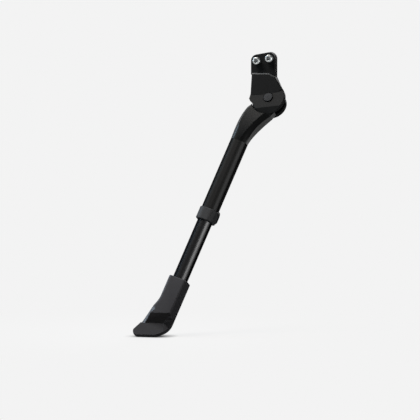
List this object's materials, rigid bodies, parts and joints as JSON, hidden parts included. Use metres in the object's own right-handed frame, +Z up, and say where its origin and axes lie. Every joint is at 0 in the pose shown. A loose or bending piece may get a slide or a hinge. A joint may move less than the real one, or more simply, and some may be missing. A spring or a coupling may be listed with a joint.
{
  "type": "bicycle kickstand",
  "caption": "Folding bicycle side stand: screw-on bracket, tilted hinge with over-centre spring, telescopic leg with a clamp collar, and a moulded foot.",
  "frame": {"origin": "midway between the two frame screws, on the mounting face", "axes": "+Z up as fitted, +X to the rear of the bicycle, -Y outwards, away from the bicycle"},
  "size_m": [0.1658, 0.1777, 0.3763],
  "materials": {
    "cast_black": "satin black coat",
    "tube_black": "satin black coat",
    "tube_gloss_black": "bright black anodised",
    "zinc_steel": "zinc plated",
    "black_steel": "black oxide",
    "spring_steel": "zinc plated",
    "bronze": "sintered",
    "washer_nylon": "moulded",
    "moulded_nylon": "moulded",
    "foot_plastic": "moulded"
  },
  "bodies": {
    "bracket": {"mount_bracket": "cast_black", "mount_screws": "zinc_steel", "pivot_bolt": "black_steel", "pivot_nut": "zinc_steel", "hub_spring_post": "zinc_steel"},
    "spring": {"fold_spring": "spring_steel"},
    "leg": {"leg_arm": "cast_black", "pivot_bush": "bronze", "front_washer": "washer_nylon", "rear_washer": "washer_nylon", "leg_spring_post": "zinc_steel", "outer_tube": "tube_black", "tube_rivet": "black_steel", "lock_collar": "moulded_nylon", "clamp_pad": "bronze", "clamp_screw": "black_steel"},
    "lower_leg": {"inner_tube": "tube_gloss_black", "guide_bush": "washer_nylon", "foot_boot": "foot_plastic", "foot_screw": "black_steel"}
  },
  "joints": [
    {"name": "fold", "type": "hinge", "parent": "bracket", "child": "leg", "pos_m": [0.0093, -0.0071, -0.0568], "axis": [0, -0.8387, 0.5446], "range_deg": [0, 105]},
    {"name": "spring_swing", "type": "hinge", "parent": "bracket", "child": "spring", "pos_m": [0.00556, 0.01551, -0.0554], "axis": [0, -0.8387, 0.5446], "range_deg": [0, 79.23], "deforming": ["fold_spring"]},
    {"name": "length", "type": "slide", "parent": "leg", "child": "lower_leg", "axis": [-0.2758, -0.374, -0.8855], "range_m": [-0.035, 0.02]}
  ],
  "couplings": [
    {"joint": "spring_swing", "follows": "fold", "ratio": 0.75442}
  ]
}
